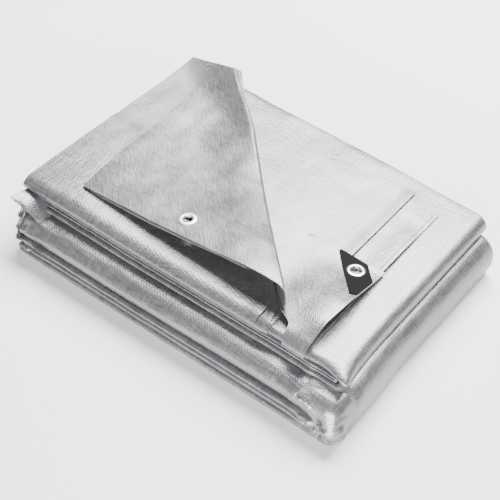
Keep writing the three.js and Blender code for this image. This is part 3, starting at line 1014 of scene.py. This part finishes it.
def eyelet(name, at, up, below, material):
    """A barrel turned outwards into a flange: rings extruded from a circle, then thickened."""
    for other in bpy.context.selected_objects:
        other.select_set(False)
    radius = EYELET_HOLE / 2
    bpy.ops.mesh.primitive_circle_add(vertices=64, radius=radius * MM,
                                      location=(0, 0, -below * MM))
    ring = bpy.context.active_object
    ring.name = name
    bpy.ops.object.transform_apply(location=True, rotation=True, scale=True)
    bpy.ops.object.mode_set(mode="EDIT")
    bpy.ops.mesh.select_all(action="SELECT")
    height = -below
    for out, rise in FLANGE:
        bpy.ops.mesh.extrude_region_move(
            TRANSFORM_OT_translate={"value": (0, 0, (rise - height) * MM)})
        grow = out / radius
        bpy.ops.transform.resize(value=(grow, grow, 1), center_override=(0, 0, 0))
        radius, height = out, rise
    bpy.ops.mesh.select_all(action="SELECT")
    bpy.ops.mesh.normals_make_consistent(inside=False)
    bpy.ops.object.mode_set(mode="OBJECT")
    solid = ring.modifiers.new("thickness", "SOLIDIFY")
    solid.thickness = EYELET_WALL * MM
    solid.offset = -1
    bpy.ops.object.modifier_apply(modifier=solid.name)
    turn = Vector((0, 0, 1)).rotation_difference(up).to_matrix().to_4x4()
    ring.data.transform(Matrix.Translation(at * MM) @ turn)
    ring.data.materials.append(material)
    bpy.ops.object.shade_smooth_by_angle(angle=math.radians(40))
    return ring


def place_on(height_at, x, y):
    """Place and direction of an eyelet on a surface z = height_at(x, y)."""
    near = 4
    at = relax(Vector((x, y, height_at(x, y))))
    along_x = relax(Vector((x + near, y, height_at(x + near, y)))) - at
    along_y = relax(Vector((x, y + near, height_at(x, y + near)))) - at
    return at, along_x.cross(along_y).normalized()


def on_turned(x, y):
    return turned_at(x, y) + HEM / 2


def on_patch(x, y):
    return corner_height(x, y) + HEM / 2 + PATCH_OFF + PATCH


# The node each sheet stands for, and its flat size and flat area in metres.
Cut = namedtuple("Cut", "node width length area")
CUTS = {
    "strip": Cut("folded_cloth", 1.95, 1.83, 3.568),
    "corner_wrap": Cut("folded_cloth", 0.11, 0.17, 0.0187),
    "front_tongue": Cut("folded_cloth", 0.05, 0.046, 0.0023),
    "crushed_roll": Cut("folded_cloth", 0.08, 0.026, 0.0020),
    "end_ply": Cut("folded_cloth", 0.39, 0.293, 0.1142),
    "middle_ply": Cut("folded_cloth", 0.38, 0.155, 0.0585),
    "folded_ply": Cut("folded_cloth", 0.36, 0.31, 0.076),
    "hem": Cut("end_hem", 0.041, 0.28, 0.0114),
    "corner_ply": Cut("corner_hem", 0.19, 0.17, 0.0185),
    "turned_cloth": Cut("turned_corner", 0.33, 0.24, 0.058),
    "turned_hem": Cut("turned_corner", 0.25, 0.05, 0.0125),
}

sheets = [
    strip(),
    corner_wrap(),
    front_tongue(),
    crushed_roll(),
    end_ply("end_ply", END_SHEETS[0], 0, lip=1.3, short=10),
    end_ply("middle_ply", END_SHEETS[1]._replace(end=MIDDLE_END), 1, lip=1.6, slant=0.25),
    folded_ply(),
    hem_strip(),
    corner_ply(),
    turned_corner(),
    turned_hem(),
]
for piece in sheets:
    cut = CUTS[piece.name]
    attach(piece, "root")
    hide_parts(cut.node)
fittings = [
    (corner_patch(), "corner_patch", "corner_plastic"),
    (eyelet("corner_ring", *place_on(on_patch, *EYELET_END), CORNER_BARREL, NICKEL),
     "eyelet_corner", "eyelet_metal"),
    # The turned ring uses the lighter copy of the nickel plating, whose paler colour is painted
    # highlight.
    (eyelet("turned_ring", *place_on(on_turned, *EYELET_TURNED), TURNED_BARREL, LIT_NICKEL_COPY),
     "eyelet_turned", "eyelet_metal"),
]
for piece, node, finish in fittings:
    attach(piece, "root")
    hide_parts(node)


def floor():
    bpy.ops.mesh.primitive_plane_add(size=12, location=(0, 0, 0))
    plane = bpy.context.active_object
    plane.name = "floor"
    material, tree, shader = new_material("pale_floor")
    shader.inputs["Base Color"].default_value = colour("#f4f4f4")
    shader.inputs["Roughness"].default_value = 0.9
    plane.data.materials.append(material)


def soft_light(name, at, aim, size, power):
    lamp = bpy.data.lights.new(name, "AREA")
    lamp.shape = "RECTANGLE"
    lamp.size = size[0]
    lamp.size_y = size[1]
    lamp.energy = power
    holder = bpy.data.objects.new(name, lamp)
    bpy.context.scene.collection.objects.link(holder)
    holder.location = at
    holder.rotation_euler = (Vector(at) - Vector(aim)).to_track_quat("Z", "Y").to_euler()


def studio():
    """A large soft box behind and above, a low one in front, and an even pale room."""
    world = bpy.data.worlds.new("studio")
    bpy.context.scene.world = world
    world.use_nodes = True
    tree = world.node_tree
    tree.nodes["Background"].inputs["Strength"].default_value = 0.46
    soft_light("overhead", (-0.15, 0.9, 1.6), (0, 0, 0.05), (1.6, 1.1), 172)
    soft_light("front_fill", (0.8, -1.7, 0.55), (0, 0, 0.03), (1.6, 0.5), 105)


AIM = Vector((-16.65, 13.08, 0)) * MM
AZIMUTH = math.radians(35.74)
ELEVATION = math.radians(45.75)
ROLL = math.radians(2.69)
DISTANCE = 1965.39 * MM
LENS = 114.16       # focal length and sensor width in millimetres
SENSOR = 36


def photo_camera():
    direction = Vector((math.sin(AZIMUTH) * math.cos(ELEVATION),
                        -math.cos(AZIMUTH) * math.cos(ELEVATION), math.sin(ELEVATION)))
    lens = bpy.data.cameras.new("camera")
    lens.lens = LENS
    lens.sensor_width = SENSOR
    camera = bpy.data.objects.new("camera", lens)
    bpy.context.scene.collection.objects.link(camera)
    camera.location = AIM + direction * DISTANCE
    turned = direction.to_track_quat("Z", "Y") @ Quaternion((0, 0, 1), ROLL)
    camera.rotation_euler = turned.to_euler()
    bpy.context.scene.camera = camera


floor()
studio()
photo_camera()
